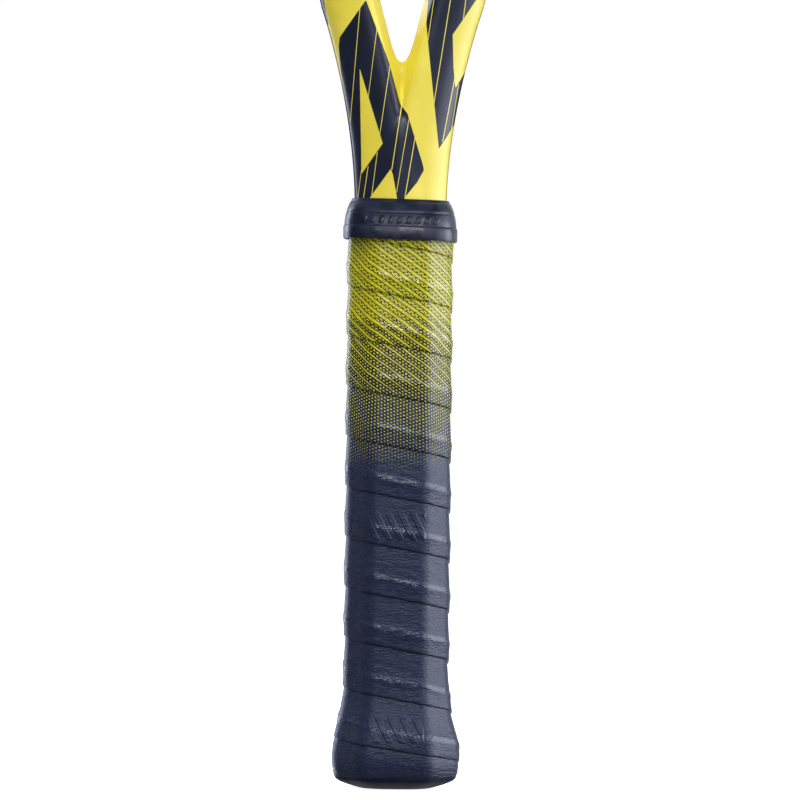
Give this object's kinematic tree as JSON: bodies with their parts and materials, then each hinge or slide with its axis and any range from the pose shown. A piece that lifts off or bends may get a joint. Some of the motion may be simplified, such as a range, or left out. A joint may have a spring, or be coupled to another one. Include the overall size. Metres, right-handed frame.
{
  "type": "tennis racket",
  "caption": "Strung tennis racket with an oval hoop, a split throat, a painted beam and an octagonal handle wound with a printed grip under a rubber collar.",
  "frame": {"origin": "centre of the butt's flat bottom face, under the middle of the racket's box", "axes": "+Z along the racket from butt to tip, +X across the face, +Y through the string bed; the front faces -Y"},
  "size_m": [0.2708, 0.0392, 0.6858],
  "materials": {
    "painted_beam": "gloss lacquer over carbon fibre",
    "painted_bridge": "gloss lacquer over carbon fibre",
    "guard_nylon": "fine matte moulding",
    "grommet_nylon": "fine matte moulding",
    "string_mains": "smooth monofilament",
    "string_crosses": "smooth monofilament",
    "pallet_foam": "moulded polyurethane foam",
    "cap_plastic": "fine matte moulding",
    "staple_steel": "bright wire",
    "door_plastic": "fine matte moulding",
    "grip_leather": "soft tacky polyurethane leather, printed",
    "tape_vinyl": "vinyl tape",
    "collar_rubber": "soft matte rubber"
  },
  "bodies": {
    "racket": {"frame": "painted_beam", "throat_bridge": "painted_bridge", "bumper_guard": "guard_nylon", "grommet_strip_left": "grommet_nylon", "grommet_strip_right": "grommet_nylon", "grommet_strip_throat": "grommet_nylon", "main_string": "string_mains", "cross_string": "string_crosses", "handle_pallet": "pallet_foam", "butt_cap": "cap_plastic", "butt_cap_staples": "staple_steel", "grip": "grip_leather", "grip_staple": "staple_steel", "finishing_tape": "tape_vinyl", "rubber_collar": "collar_rubber"},
    "trap_door": {"trap_door": "door_plastic"}
  },
  "joints": [
    {"name": "trap_door_pull", "type": "slide", "parent": "racket", "child": "trap_door", "axis": [0, 0, -1], "range_m": [0, 0.03]}
  ]
}
